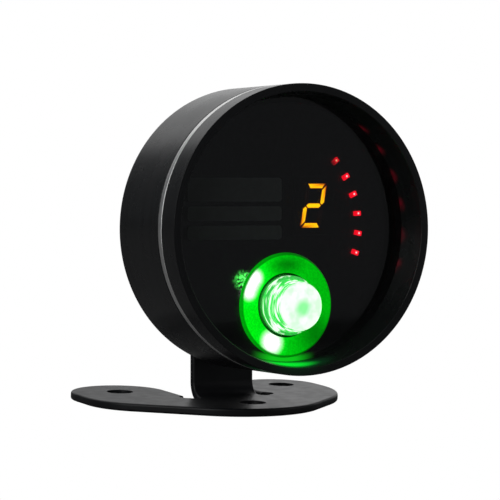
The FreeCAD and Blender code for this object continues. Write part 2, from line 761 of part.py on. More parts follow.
def build():
    os.makedirs("parts", exist_ok=True)
    save_head("housing_shell", housing_shell())
    save_head("front_bezel", front_bezel())
    save_head("trim_ring", trim_ring())
    save_head("retaining_ring", retaining_ring())
    save_head("smoked_lens", smoked_lens())
    save_head("lens_gasket", ring(0, 0, GASKET_R_IN, SEAT_R - FIT_GAP, LENS_BACK, BOARD_Y))
    save_head("display_board", display_board())
    for number in range(len(LED_TWIST_DEG)):
        save_head("arc_led_%d" % (number + 1), arc_led(number))
    save_head("digit_body", digit_body())
    save_head("digit_segments_lit", Part.makeCompound(digit_segments("abged")))
    save_head("digit_segments_unlit", Part.makeCompound(digit_segments("cf")))
    save_head("digit_pins", digit_pins())
    save_head("lamp_reflector", lamp_reflector())
    save_head("lamp_lens", lamp_lens())
    save_head("lamp_emitter", lamp_emitter())
    save_head("lamp_board", lamp_board())
    save_head("lamp_spacer", lamp_spacer())
    save_head("lamp_nut", lamp_nut())
    save_head("main_board", main_board())
    save_head("board_spacers", board_spacers())
    save_head("board_screws", board_screws())
    save_head("microcontroller", microcontroller())
    save_head("voltage_regulator", voltage_regulator())
    save_head("capacitors", capacitors())
    save_head("crystal", crystal())
    save_head("lamp_driver", lamp_driver())
    save_head("lead_header", lead_header())
    save_head("tactile_switch", tactile_switch())
    save_head("switch_plunger", switch_plunger())
    save_head("setup_button", setup_button())
    save_head("lead_grommet", lead_grommet())
    save_head("clamp_boss", clamp_boss())
    save_head("friction_pad", friction_pad())
    save_head("clamp_bolt", clamp_bolt())
    save_head("flat_washer", flat_washer())
    save_head("spring_washer", spring_washer())
    save_head("clamp_nut", clamp_nut())
    save("mounting_bracket", bracket())


build()
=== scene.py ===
import json
import math

import bmesh
import bpy
from mathutils import Matrix, Vector


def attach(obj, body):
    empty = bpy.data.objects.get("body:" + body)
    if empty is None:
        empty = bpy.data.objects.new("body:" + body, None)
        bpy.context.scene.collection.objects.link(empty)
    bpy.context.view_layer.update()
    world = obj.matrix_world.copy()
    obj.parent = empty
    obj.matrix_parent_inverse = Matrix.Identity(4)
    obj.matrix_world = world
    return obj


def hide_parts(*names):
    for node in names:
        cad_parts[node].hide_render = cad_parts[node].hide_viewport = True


# Looks of a round timing gauge with a smoked face, a lit digit, an arc of red LEDs and a green lamp.
# Blender's objects are in metres. Shapes are worked out in millimetres in the head's own frame: its
# origin is the centre of the front rim, +X is to the right and +Y runs back along the housing.

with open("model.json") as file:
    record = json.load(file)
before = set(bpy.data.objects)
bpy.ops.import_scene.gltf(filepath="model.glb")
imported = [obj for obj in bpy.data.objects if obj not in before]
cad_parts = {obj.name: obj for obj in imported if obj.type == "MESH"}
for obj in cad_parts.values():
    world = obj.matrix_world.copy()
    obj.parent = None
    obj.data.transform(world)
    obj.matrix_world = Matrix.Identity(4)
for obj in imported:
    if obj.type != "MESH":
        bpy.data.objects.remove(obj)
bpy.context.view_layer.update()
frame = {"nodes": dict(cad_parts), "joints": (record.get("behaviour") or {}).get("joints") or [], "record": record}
MM = 0.001
TURNS = 256
SMOOTH_ANGLE = math.radians(38)
CORNER = 0.12

BLACK = (0.010, 0.0105, 0.012)
WHITE = (1.0, 1.0, 1.0)
DARK = (0.0, 0.0, 0.0)


# ---- Places read from the CAD model, and given sizes and bearings ----

def head_frame():
    """The head's frame as a matrix, from its joint and the front of its bezel."""
    turn = next(joint for joint in frame["joints"] if joint["name"] == "head_turn")
    axis = Vector(turn["axis"])
    pivot = Vector(turn["pos_m"])
    tilt = math.atan2(-axis.z, axis.y)
    bezel = frame["nodes"]["front_bezel"].data.vertices
    rim = min(axis.dot(vertex.co - pivot) for vertex in bezel)
    return Matrix.Translation(pivot + axis * rim) @ Matrix.Rotation(-tilt, 4, "X")


HEAD = head_frame()
TO_HEAD = HEAD.inverted()


def head_points(node):
    """A CAD node's vertices in the head's frame, in millimetres."""
    return [(TO_HEAD @ vertex.co) / MM for vertex in frame["nodes"][node].data.vertices]


def head_centre(node):
    """Middle of a CAD node's box, in millimetres in the head's frame."""
    points = head_points(node)
    low = [min(point[k] for point in points) for k in range(3)]
    high = [max(point[k] for point in points) for k in range(3)]
    return Vector([(a + b) / 2 for a, b in zip(low, high)])


def span(node, x=0.0, z=0.0):
    """Inner radius, outer radius, front and back of a CAD node about the line (x, z) along Y."""
    points = head_points(node)
    radii = [math.hypot(point.x - x, point.z - z) for point in points]
    depths = [point.y for point in points]
    return min(radii), max(radii), min(depths), max(depths)


LAMP = (head_centre("lamp_reflector").x, head_centre("lamp_reflector").z)
BUTTON = head_centre("setup_button")
INLET = head_centre("lead_grommet")
FLANGE_R = span("lamp_reflector", *LAMP)[1]
FLANGE_SLOPE = 0.45
FLANGE_CREST = FLANGE_R - FLANGE_SLOPE
DISH_DEPTH = 0.4
BORE_CHAMFER = 0.25
BEZEL_R = span("front_bezel")[0]
_, HOUSING_R, CUP_FRONT, CUP_BACK = span("housing_shell")
_, FACE_EDGE_R, FACE_Y, FACE_BACK = span("smoked_lens")
LEDS = ["arc_led_%d" % number for number in range(1, 7)]
CUP_WALL = 2.1
BOLT_HEAD = 3.4
INLET_HOLE_R = 3.6
BUTTON_HOLE_R = 2.5
BOLT_R = span("clamp_boss")[0]

# Painted light and shade on the lamp's flange: bearings in degrees about the lamp, where 0 is to the right and 90
# is up, and distances from the lamp as shares of the crest's radius.
UPPER_POOL = 152
UPPER_POOL_TURNS = (-9.0, -4.5, 0.0, 4.5, 9.0)
LOWER_POOL = 245
TOP_SHADE = 90
LOW_SHADE = -42
FAR_OUT = 0.90
MIDWAY = 0.80


def around(radius, bearing, y, centre=(0.0, 0.0)):
    """The point at a radius and a bearing about a line along Y, by default the head's own axis."""
    angle = math.radians(bearing)
    return centre[0] + radius * math.cos(angle), y, centre[1] + radius * math.sin(angle)


def bearing_of(x, z):
    """Bearing of the place (x, z) from the head's axis."""
    return math.degrees(math.atan2(z, x))


# ---- Mesh builders, in millimetres ----

def rounded(outline, radius=CORNER, steps=4):
    """A closed (radius, y) outline with rounded corners. A third number is that corner's own radius."""
    result = []
    for k, entry in enumerate(outline):
        here = Vector(entry[:2])
        size = entry[2] if len(entry) > 2 else radius
        if size == 0:
            result.append(here)
            continue
        before = Vector(outline[k - 1][:2]) - here
        after = Vector(outline[(k + 1) % len(outline)][:2]) - here
        half = before.angle(after) / 2
        cut = min(size / math.tan(half), 0.45 * before.length, 0.45 * after.length)
        start = here + before.normalized() * cut
        end = here + after.normalized() * cut
        for step in range(steps + 1):
            t = step / steps
            result.append(start * (1 - t) ** 2 + here * (2 * t * (1 - t)) + end * t ** 2)
    return result


def turned(outline, x=0.0, z=0.0, turns=TURNS):
    """A solid of revolution about the line (x, z) along Y, from a closed (radius, y) outline."""
    mesh = bmesh.new()
    rings = []
    for radius, y in outline:
        ring = []
        for k in range(turns if radius > 1e-6 else 1):
            angle = 2 * math.pi * k / turns
            ring.append(mesh.verts.new((x + radius * math.cos(angle), y, z + radius * math.sin(angle))))
        rings.append(ring)
    for k, ring in enumerate(rings):
        following = rings[(k + 1) % len(rings)]
        if len(ring) == len(following) == 1:
            continue
        for j in range(turns):
            n = (j + 1) % turns
            corners = [ring[j % len(ring)], ring[n % len(ring)],
                       following[n % len(following)], following[j % len(following)]]
            mesh.faces.new(list(dict.fromkeys(corners)))
    bmesh.ops.recalc_face_normals(mesh, faces=mesh.faces)
    return mesh


def slab(width, height, y0, y1, x=0.0, z=0.0, corner=0.3, lean=0.0):
    """A flat plate with rounded corners, facing -Y, leaning over by a share of its height."""
    mesh = bmesh.new()
    outline = []
    for side_x, side_z, start in ((1, 1, 0), (-1, 1, 90), (-1, -1, 180), (1, -1, 270)):
        for step in range(5):
            angle = math.radians(start + 22.5 * step)
            px = side_x * (width / 2 - corner) + corner * math.cos(angle)
            pz = side_z * (height / 2 - corner) + corner * math.sin(angle)
            outline.append((x + px + lean * pz, z + pz))
    front = [mesh.verts.new((px, y0, pz)) for px, pz in outline]
    back = [mesh.verts.new((px, y1, pz)) for px, pz in outline]
    mesh.faces.new(front)
    mesh.faces.new(back)
    for k in range(len(outline)):
        n = (k + 1) % len(outline)
        mesh.faces.new((front[k], front[n], back[n], back[k]))
    bmesh.ops.recalc_face_normals(mesh, faces=mesh.faces)
    return mesh


def threaded(x, z, radius, y0, y1, pitch, depth, turns=48, steps=10):
    """A rod along Y with a real helical thread and a chamfered end at y1."""
    mesh = bmesh.new()
    count = int((y1 - y0) / pitch * steps)
    rings = []
    for k in range(count + 1):
        y = y0 + (y1 - y0) * k / count
        cone = min(1.0, (y1 - y) / 0.5 + 0.55)
        ring = []
        for j in range(turns):
            phase = ((y - y0) / pitch - j / turns) % 1.0
            groove = depth * max(0.0, 1.0 - abs(phase - 0.5) / 0.36)
            angle = 2 * math.pi * j / turns
            r = min(radius - groove, radius * cone)
            ring.append(mesh.verts.new((x + r * math.cos(angle), y, z + r * math.sin(angle))))
        rings.append(ring)
    for lower, upper in zip(rings, rings[1:]):
        for j in range(turns):
            n = (j + 1) % turns
            mesh.faces.new((lower[j], lower[n], upper[n], upper[j]))
    mesh.faces.new(rings[0])
    mesh.faces.new(rings[-1])
    bmesh.ops.recalc_face_normals(mesh, faces=mesh.faces)
    return mesh


def object_from(name, mesh, place=HEAD):
    """An object at a place, from a mesh in millimetres."""
    bmesh.ops.scale(mesh, vec=(MM, MM, MM), verts=mesh.verts)
    data = bpy.data.meshes.new(name)
    mesh.to_mesh(data)
    mesh.free()
    made = bpy.data.objects.new(name, data)
    bpy.context.scene.collection.objects.link(made)
    made.matrix_world = place
    return made


def cut(target, *cutters):
    """Cut meshes in millimetres out of an object, for good."""
    for number, mesh in enumerate(cutters):
        tool = object_from("cutter_%d" % number, mesh)
        step = target.modifiers.new("cut", "BOOLEAN")
        step.operation = "DIFFERENCE"
        step.solver = "EXACT"
        step.object = tool
        bpy.context.view_layer.update()
        shape = bpy.data.meshes.new_from_object(target.evaluated_get(bpy.context.evaluated_depsgraph_get()))
        target.modifiers.clear()
        target.data = shape
        bpy.data.objects.remove(tool)


def soften(target, width=0.0, segments=2):
    """Smooth shading with crisp corners, and a bevel on them if a width in millimetres is given."""
    target.data.shade_smooth()
    target.data.set_sharp_from_angle(angle=SMOOTH_ANGLE)
    if width:
        bevel = target.modifiers.new("bevel", "BEVEL")
        bevel.width = width * MM
        bevel.segments = segments
        bevel.limit_method = "ANGLE"
        bevel.angle_limit = SMOOTH_ANGLE
    target.modifiers.new("normals", "WEIGHTED_NORMAL").keep_sharp = True


def finish_piece(target, surface, body, stands_for=()):
    """Give a piece its material and its body, and hide the CAD nodes that it stands for."""
    target.data.materials.clear()
    target.data.materials.append(surface)
    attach(target, body)
    if stands_for:
        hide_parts(*stands_for)
    return target


def lathe_piece(name, outline, surface, body, slot, stands_for=(), x=0.0, z=0.0, holes=()):
    """A turned piece in the head's frame, with holes cut by more turned outlines (outline, x, z)."""
    target = object_from(name, turned(outline, x, z))
    cut(target, *[turned(hole, hx, hz, 96) for hole, hx, hz in holes])
    soften(target)
    return finish_piece(target, surface, body, stands_for)


# ---- Materials ----

class Surface:
    """A material on one Principled shader, with short calls that add nodes to it."""

    def __init__(self, name, colour, roughness, **settings):
        self.material = bpy.data.materials.new(name)
        self.material.use_nodes = True
        self.tree = self.material.node_tree
        self.shader = self.tree.nodes["Principled BSDF"]
        self.normal = None
        self.feed(self.shader.inputs["Base Color"], colour)
        self.feed(self.shader.inputs["Roughness"], roughness)
        for label, value in settings.items():
            self.feed(self.shader.inputs[label.replace("_", " ")], value)
        self.place = self.node("TexCoord").outputs["Object"]

    def feed(self, socket, value):
        if isinstance(value, bpy.types.NodeSocket):
            self.tree.links.new(value, socket)
        elif isinstance(value, tuple) and len(value) == 3 and socket.type == "RGBA":
            socket.default_value = (*value, 1.0)
        else:
            socket.default_value = value

    def node(self, kind, inputs=None, **options):
        made = self.tree.nodes.new("ShaderNode" + kind)
        for label, value in options.items():
            setattr(made, label, value)
        for key, value in (inputs or {}).items():
            self.feed(made.inputs[key], value)
        return made

    def calc(self, operation, a, b=0.0):
        return self.node("Math", {0: a, 1: b}, operation=operation).outputs[0]

    def noise(self, size, detail=2.0, vector=None):
        """Smooth noise, with features about this many millimetres across."""
        inputs = {"Vector": vector or self.place, "Scale": 1 / (size * MM), "Detail": detail}
        return self.node("TexNoise", inputs).outputs[0]

    def remap(self, value, low, high, start=0.0, end=1.0):
        inputs = {0: value, 1: low, 2: high, 3: start, 4: end}
        return self.node("MapRange", inputs, interpolation_type="SMOOTHSTEP").outputs[0]

    def mix(self, factor, first, second):
        made = self.node("Mix", data_type="RGBA")
        self.feed(made.inputs[0], factor)
        self.feed(made.inputs[6], first)
        self.feed(made.inputs[7], second)
        return made.outputs[2]

    def from_line(self, x=0.0, z=0.0):
        """The place measured from the line (x, z) along Y, in metres."""
        inputs = {0: self.place, 1: (x * MM, 0.0, z * MM)}
        return self.node("VectorMath", inputs, operation="SUBTRACT").outputs[0]

    def stretched(self, vector, x, y, z):
        return self.node("VectorMath", {0: vector, 1: (x, y, z)}, operation="MULTIPLY").outputs[0]

    def distance(self, vector, point):
        """Distance in millimetres from a point given in millimetres."""
        inputs = {0: vector, 1: tuple(value * MM for value in point)}
        length = self.node("VectorMath", inputs, operation="DISTANCE").outputs["Value"]
        return self.calc("DIVIDE", length, MM)

    def radius(self, vector):
        """Distance in metres from the line along Y through the vector's origin."""
        flat = self.stretched(vector, 1, 0, 1)
        return self.node("VectorMath", {0: flat}, operation="LENGTH").outputs["Value"]

    def spot(self, vector, point, inner, outer):
        """1 inside the inner distance from a point and 0 outside the outer one."""
        return self.remap(self.distance(vector, point), outer, inner)

    def grooves(self, x, z, pitch):
        """Noise that runs round the line (x, z) along Y, as a lathe tool leaves it."""
        local = self.from_line(x, z)
        radius = self.radius(local)
        parts = self.node("SeparateXYZ", {0: local})
        drift = self.calc("MULTIPLY", parts.outputs[0], 0.012)
        track = self.node("CombineXYZ", {0: radius, 1: parts.outputs[1], 2: drift})
        return self.noise(pitch, 3.0, track.outputs[0])

    def bump(self, height, depth):
        """Raise the surface by a height from 0 to 1 times this many millimetres."""
        made = self.node("Bump", {"Height": height, "Distance": depth * MM, "Strength": 1.0})
        if self.normal:
            self.tree.links.new(self.normal, made.inputs["Normal"])
        self.normal = made.outputs[0]
        self.tree.links.new(self.normal, self.shader.inputs["Normal"])

    def roughness(self, value, low, high):
        self.feed(self.shader.inputs["Roughness"], self.remap(value, 0.3, 0.7, low, high))

    def colour(self, value, first, second):
        self.feed(self.shader.inputs["Base Color"], self.mix(self.remap(value, 0.3, 0.7), first, second))

    def glow(self, colour, strength):
        self.feed(self.shader.inputs["Emission Color"], colour)
        self.feed(self.shader.inputs["Emission Strength"], strength)


def anodised(name, x=0.0, z=0.0):
    """Black anodised aluminium with the lathe's fine grooves under the dye, as a Surface."""
    surface = Surface(name, BLACK, 0.28, Specular_IOR_Level=0.32)
    fine = surface.grooves(x, z, 0.16)
    coarse = surface.grooves(x, z, 0.9)
    surface.bump(fine, 0.0035)
    surface.bump(coarse, 0.006)
    surface.roughness(surface.noise(9.0, 3.0), 0.24, 0.30)
    surface.colour(coarse, (0.0062, 0.0065, 0.0072), (0.0095, 0.0099, 0.0110))
    return surface


def lit_bezel():
    """Anodised bezel whose wall has painted light: the lamp's green nearest the lamp, and red reflections nearest
    each LED, both painted as emission.
    """
    surface = anodised("bezel_anodised_painted_light")
    # Painted light: a green patch of emission on the wall nearest the lamp.
    squeeze = 0.36
    x, y, z = around(BEZEL_R + 0.3, bearing_of(*LAMP), FACE_Y / 2)
    centre = (x * squeeze, y, z)
    long_way = surface.stretched(surface.place, squeeze, 1.0, 1.0)
    near = surface.spot(long_way, centre, 0.7, 2.7)
    wide = surface.spot(long_way, centre, 0.7, 4.4)
    green = surface.mix(wide, DARK, (0.0, 0.045, 0.010))
    green = surface.mix(near, green, (0.0, 0.70, 0.025))
    # Painted reflections: a red patch of emission on the wall nearest each LED, broken up by noise.
    red = 0.0
    for node in LEDS:
        led = head_centre(node)
        point = around(BEZEL_R, bearing_of(led.x, led.z), FACE_Y)
        red = surface.calc("MAXIMUM", red, surface.spot(surface.place, point, 0.2, 2.2))
    mottle = surface.remap(surface.noise(2.2, 2.0), 0.35, 0.65, 0.15, 1.0)
    red = surface.calc("MULTIPLY", red, mottle)
    surface.glow(surface.mix(red, green, (0.055, 0.0, 0.003)), 1.0)
    return surface.material


def powder_coat():
    """Satin black powder coat, with its slight orange peel and faint mottling."""
    surface = Surface("black_powder_coat", BLACK, 0.36, Specular_IOR_Level=0.28)
    surface.bump(surface.noise(0.9, 2.0), 0.0022)
    surface.bump(surface.noise(0.22, 1.0), 0.0012)
    surface.roughness(surface.noise(2.5, 3.0), 0.38, 0.44)
    surface.colour(surface.noise(3.0, 3.0), (0.0082, 0.0086, 0.0098), (0.0098, 0.0103, 0.0118))
    return surface.material


def bare_aluminium(name, x=0.0, z=0.0):
    """Bright turned aluminium."""
    surface = Surface(name, (0.80, 0.80, 0.79), 0.3, Metallic=1.0)
    lines = surface.grooves(x, z, 0.12)
    surface.bump(lines, 0.004)
    surface.roughness(surface.noise(3.0, 3.0), 0.34, 0.44)
    surface.colour(lines, (0.84, 0.84, 0.83), (0.94, 0.94, 0.93))
    return surface.material


def smoked_acrylic():
    """Dark polished sheet that lets the lit parts through. The lamp's green glints, and a green line along the
    edge nearest the lamp, are painted on.
    """
    surface = Surface("smoked_acrylic", (0.20, 0.20, 0.21), 0.03, Transmission_Weight=1.0, IOR=1.49,
                      Coat_Weight=0.4, Coat_Roughness=0.06)
    surface.roughness(surface.noise(6.0, 4.0), 0.015, 0.05)
    surface.bump(surface.noise(14.0, 2.0), 0.0015)
    flat = surface.stretched(surface.place, 1, 0, 1)
    # Painted highlights: green glints on the face just beside the lamp's flange.
    beside = surface.spot(flat, around(FLANGE_R + 0.2, UPPER_POOL, 0.0, LAMP), 0.6, 2.5)
    sparks = surface.remap(surface.noise(0.55, 2.0), 0.45, 0.60)
    glint = surface.calc("MULTIPLY", beside, sparks)
    # Painted light: a green line of emission along the face's edge nearest the lamp.
    edge = surface.remap(surface.radius(surface.place), (BEZEL_R - 1.5) * MM, (BEZEL_R - 0.7) * MM)
    low = surface.spot(flat, around(BEZEL_R, bearing_of(*LAMP), 0.0), 2.0, 8.0)
    line = surface.calc("MULTIPLY", edge, low)
    glow = surface.mix(line, DARK, (0.0, 0.55, 0.006))
    surface.glow(surface.mix(glint, glow, (0.12, 1.5, 0.16)), 1.0)
    return surface.material


def print_ink():
    """Dark grey ink of the face's print."""
    surface = Surface("face_print", (0.016, 0.017, 0.018), 0.3, Specular_IOR_Level=0.5)
    surface.colour(surface.noise(1.2, 2.0), (0.0150, 0.0165, 0.0172), (0.0185, 0.0205, 0.0212))
    surface.roughness(surface.noise(0.6, 2.0), 0.32, 0.40)
    surface.bump(surface.noise(0.4, 2.0), 0.0008)
    return surface.material


def flange_light(surface, local, depth, side):
    """Colour of the dish, all painted light: a green that fades to its right, two painted shades and two white
    painted pools of light.
    """
    lit = surface.mix(side, (0.0, 0.46, 0.004), (0.0, 0.80, 0.006))
    # Painted shade: two darker spots on the dish.
    half_width = surface.stretched(local, 0.5, 1.0, 1.0)
    top = surface.spot(half_width, around(MIDWAY * FLANGE_CREST, TOP_SHADE, depth), 0.0, 3.2)
    low = surface.spot(local, around(FAR_OUT * FLANGE_CREST, LOW_SHADE, depth), 0.0, 6.4)
    shade = surface.calc("MULTIPLY", surface.calc("MAXIMUM", top, low), 0.85)
    lit = surface.mix(shade, lit, (0.0, 0.14, 0.002))
    # Painted highlights: two white pools of light with green halos.
    upper = FLANGE_R
    for turn in UPPER_POOL_TURNS:
        point = around(FAR_OUT * FLANGE_CREST, UPPER_POOL + turn, depth)
        upper = surface.calc("MINIMUM", upper, surface.distance(local, point))
    lower = surface.distance(local, around(MIDWAY * FLANGE_CREST, LOWER_POOL, depth))
    halo = surface.calc("MAXIMUM", surface.remap(upper, 4.4, 0.6), surface.remap(lower, 4.8, 0.8))
    core = surface.calc("MAXIMUM", surface.remap(upper, 2.5, 0.3), surface.remap(lower, 3.3, 0.6))
    lit = surface.mix(halo, lit, (0.0, 1.0, 0.02))
    return surface.mix(core, lit, (1.7, 2.0, 1.7))


def lamp_shine():
    """Metal holder with the lamp's light painted on it as emission: a dish, its dark crest line, its outer slope
    and its dark bore, all painted light and shade.
    """
    surface = Surface("lamp_reflector_painted_light", (0.0, 0.09, 0.003), 0.35, Metallic=1.0)
    local = surface.from_line(*LAMP)
    bore, _, crest_y, _ = span("lamp_reflector", *LAMP)
    surface.bump(surface.grooves(*LAMP, 0.25), 0.002)
    parts = surface.node("SeparateXYZ", {0: local})
    # Painted light falls off across the holder: brightest on its left, dimmest on its right.
    lean = surface.calc("ADD", parts.outputs[0], surface.calc("MULTIPLY", parts.outputs[2], -0.15))
    side = surface.remap(lean, 8.0 * MM, -10.0 * MM)
    lit = flange_light(surface, local, crest_y + DISH_DEPTH, side)
    radius = surface.radius(local)
    # Painted shade: the outer slope is darker than the dish.
    slope = surface.remap(radius, FLANGE_CREST * MM, (FLANGE_CREST + 0.12) * MM)
    lit = surface.mix(slope, lit, surface.mix(side, (0.0, 0.055, 0.001), (0.0, 0.34, 0.004)))
    # Painted shade: a dark line along the crest.
    off_crest = surface.calc("ABSOLUTE", surface.calc("SUBTRACT", radius, FLANGE_CREST * MM))
    line = surface.calc("MULTIPLY", surface.remap(off_crest, 0.18 * MM, 0.04 * MM), 0.55)
    lit = surface.mix(line, lit, (0.0, 0.06, 0.001))
    # Painted shade: the bore is nearly black.
    inside = surface.remap(radius, (bore + 0.32) * MM, (bore + 0.20) * MM)
    grain = surface.remap(surface.noise(0.35, 2.0), 0.3, 0.7, 0.84, 1.12)
    surface.glow(surface.mix(inside, lit, (0.0, 0.010, 0.001)), grain)
    return surface.material


def lamp_clear():
    """Clear cap over the emitter, its glow painted as emission: nearly white in front, with painted streaks of
    light and green bands down its side.
    """
    surface = Surface("lamp_lens_clear", (0.10, 0.60, 0.14), 0.05, Transmission_Weight=0.35, IOR=1.49)
    local = surface.from_line(*LAMP)
    tip = span("lamp_lens", *LAMP)[2]
    chip = surface.spot(local, (0.4, tip, -0.4), 0.7, 2.5)
    cloud = surface.remap(surface.noise(2.6, 2.0, local), 0.42, 0.64)
    front = surface.mix(cloud, (1.05, 1.15, 1.05), (0.78, 1.08, 0.80))
    front = surface.mix(chip, front, (0.30, 0.92, 0.36))
    parts = surface.node("SeparateXYZ", {0: local})
    side = surface.remap(parts.outputs[1], (tip + 0.42) * MM, (tip + 0.62) * MM)
    # Painted shade: the collar at the back is dark.
    collar = surface.remap(parts.outputs[1], (tip + 5.5) * MM, (tip + 6.1) * MM)
    # Painted highlights: bright streaks down the cap's side.
    bands = surface.noise(0.55, 2.0, surface.stretched(local, 0.22, 1.0, 0.10))
    streaks = surface.remap(bands, 0.48, 0.60)
    wall = surface.mix(streaks, (0.02, 0.42, 0.05), (1.05, 1.15, 1.05))
    wall = surface.mix(collar, wall, (0.0, 0.035, 0.002))
    surface.glow(surface.mix(side, front, wall), 0.88)
    surface.bump(surface.noise(1.2, 2.0), 0.003)
    return surface.material


def green_emitter():
    """The lamp's green chip, lit."""
    surface = Surface("green_emitter", (0.4, 0.9, 0.4), 0.3)
    local = surface.from_line(*LAMP)
    heart = surface.spot(local, (0.0, 5.2, 0.0), 0.8, 3.4)
    surface.glow(surface.mix(heart, (0.0, 0.30, 0.005), (0.5, 1.0, 0.5)), 0.5)
    surface.roughness(surface.noise(0.6, 2.0), 0.2, 0.4)
    return surface.material


def lit_segment():
    """Amber segment: yellow inside and orange to dark red at its edge."""
    surface = Surface("amber_lit", (0.30, 0.16, 0.02), 0.4)
    inside = surface.node("Attribute", attribute_name="inside").outputs["Fac"]
    ramp = surface.node("ValToRGB", {0: inside})
    stops = ramp.color_ramp.elements
    stops[0].color = (0.14, 0.008, 0.0, 1.0)
    stops[1].color = (1.0, 0.66, 0.0, 1.0)
    middle = stops.new(0.5)
    middle.color = (1.0, 0.34, 0.0, 1.0)
    surface.roughness(surface.noise(0.4, 2.0), 0.35, 0.5)
    surface.glow(ramp.outputs[0], 5.6)
    return surface.material


def unlit_segment():
    """Digit segment that is dark, with a faint red glow painted on as emission."""
    surface = Surface("amber_unlit", (0.05, 0.022, 0.012), 0.5)
    surface.colour(surface.noise(0.5, 2.0), (0.045, 0.020, 0.012), (0.06, 0.026, 0.014))
    surface.glow((0.09, 0.018, 0.012), 0.12)
    return surface.material


def display_plastic():
    """Dark package of the digit, with a faint warm glow painted round the lit segments."""
    surface = Surface("display_plastic", (0.012, 0.010, 0.010), 0.5)
    centre = head_centre("digit_body")
    # Painted light: warm spill from the lit segments, as emission.
    near = surface.spot(surface.place, (centre.x, FACE_BACK, centre.z), 3.0, 7.0)
    surface.glow(surface.mix(near, DARK, (0.11, 0.022, 0.016)), 0.10)
    surface.roughness(surface.noise(0.5, 2.0), 0.4, 0.6)
    surface.bump(surface.noise(0.12, 1.0), 0.002)
    return surface.material


def red_led(name, dim):
    """Red LED, with its die as a small hot spot. A dim one fades on the side away from the spot."""
    surface = Surface(name, (0.25, 0.01, 0.01), 0.35)
    far, near = (0.14, 0.60) if dim else (0.82, 1.0)
    spark = (1.0, 0.42, 0.22) if dim else (1.0, 0.72, 0.74)
    hot = surface.spot(surface.place, (0.22, -0.35, 0.0), 0.14, 0.34)
    parts = surface.node("SeparateXYZ", {0: surface.place})
    across = surface.remap(parts.outputs[0], -0.9 * MM, 0.35 * MM, far, near)
    body = surface.mix(across, DARK, (1.15, 0.0, 0.016))
    surface.glow(surface.mix(hot, body, spark), 5.0)
    surface.roughness(surface.noise(0.3, 2.0), 0.3, 0.45)
    return surface.material


def laminate():
    """Circuit board: black solder mask over tracks, which show as slight ridges."""
    surface = Surface("board_laminate", (0.010, 0.013, 0.011), 0.4)
    cells = surface.node("TexVoronoi", {"Vector": surface.place, "Scale": 1 / (1.9 * MM)},
                         feature="DISTANCE_TO_EDGE", distance="MANHATTAN")
    tracks = surface.remap(cells.outputs["Distance"], 0.03, 0.10)
    surface.feed(surface.shader.inputs["Base Color"],
                 surface.mix(tracks, (0.016, 0.024, 0.018), (0.008, 0.011, 0.009)))
    surface.bump(tracks, 0.02)
    surface.roughness(surface.noise(0.8, 3.0), 0.3, 0.5)
    return surface.material


def rubber():
    """Matt black rubber."""
    surface = Surface("black_rubber", (0.014, 0.014, 0.015), 0.68)
    surface.bump(surface.noise(0.35, 3.0), 0.008)
    surface.roughness(surface.noise(1.6, 3.0), 0.58, 0.78)
    surface.colour(surface.noise(2.2, 3.0), (0.011, 0.011, 0.012), (0.019, 0.019, 0.020))
    return surface.material


def moulded(name, colour, roughness):
    """Moulded plastic with a fine spark-eroded grain."""
    surface = Surface(name, colour, roughness)
    surface.bump(surface.noise(0.18, 2.0), 0.004)
    surface.roughness(surface.noise(1.2, 3.0), roughness - 0.07, roughness + 0.07)
    darker = tuple(0.8 * value for value in colour)
    surface.colour(surface.noise(3.0, 2.0), darker, colour)
    return surface.material


def fibre():
    """Reddish brown vulcanised fibre."""
    surface = Surface("fibre", (0.16, 0.05, 0.03), 0.8)
    strands = surface.noise(0.3, 4.0, surface.stretched(surface.place, 1.0, 1.0, 0.25))
    surface.colour(strands, (0.11, 0.032, 0.020), (0.20, 0.066, 0.040))
    surface.bump(strands, 0.02)
    return surface.material


def plated(name, colour, roughness):
    """Plated metal with slight blotches and fine scratches."""
    surface = Surface(name, colour, roughness, Metallic=1.0)
    scratches = surface.noise(0.25, 3.0, surface.stretched(surface.place, 1.0, 0.15, 1.0))
    surface.bump(scratches, 0.004)
    surface.roughness(surface.noise(1.0, 3.0), roughness - 0.08, roughness + 0.10)
    darker = tuple(0.82 * value for value in colour)
    surface.colour(surface.noise(1.4, 3.0), darker, colour)
    return surface.material


FINISH = {
    "black_anodised": anodised("black_anodised").material,
    "black_coat": powder_coat(),
    "bare_aluminium": bare_aluminium("bare_aluminium"),
    "polished_aluminium": lamp_shine(),
    "smoked_acrylic": smoked_acrylic(),
    "clear_plastic": lamp_clear(),
    "green_emitter": green_emitter(),
    "amber_segment": lit_segment(),
    "unlit_segment": unlit_segment(),
    "red_led": red_led("red_led", False),
    "display_plastic": display_plastic(),
    "board_laminate": laminate(),
    "black_rubber": rubber(),
    "black_plastic": moulded("black_plastic", (0.014, 0.014, 0.015), 0.45),
    "white_plastic": moulded("white_plastic", (0.72, 0.70, 0.64), 0.45),
    "fibre": fibre(),
    "tin_plate": plated("tin_plate", (0.62, 0.62, 0.60), 0.32),
    "zinc_steel": plated("zinc_steel", (0.55, 0.56, 0.58), 0.30),
    "black_steel": plated("black_steel", (0.035, 0.035, 0.038), 0.38),
}


# ---- CAD nodes that keep their shape ----

EASED = {"mounting_bracket": 0.35, "clamp_nut": 0.12, "flat_washer": 0.15, "spring_washer": 0.15}


def dress_cad_nodes():
    """Give every CAD node its slot's finish, and the ones that show at the back softer edges."""
    slots = {part["node"]: part["material_slot"] for part in frame["record"]["subparts"]}
    for name, node in frame["nodes"].items():
        node.data.materials.clear()
        node.data.materials.append(FINISH[slots[name]])
        if name in EASED:
            ease_edges(node, EASED[name])


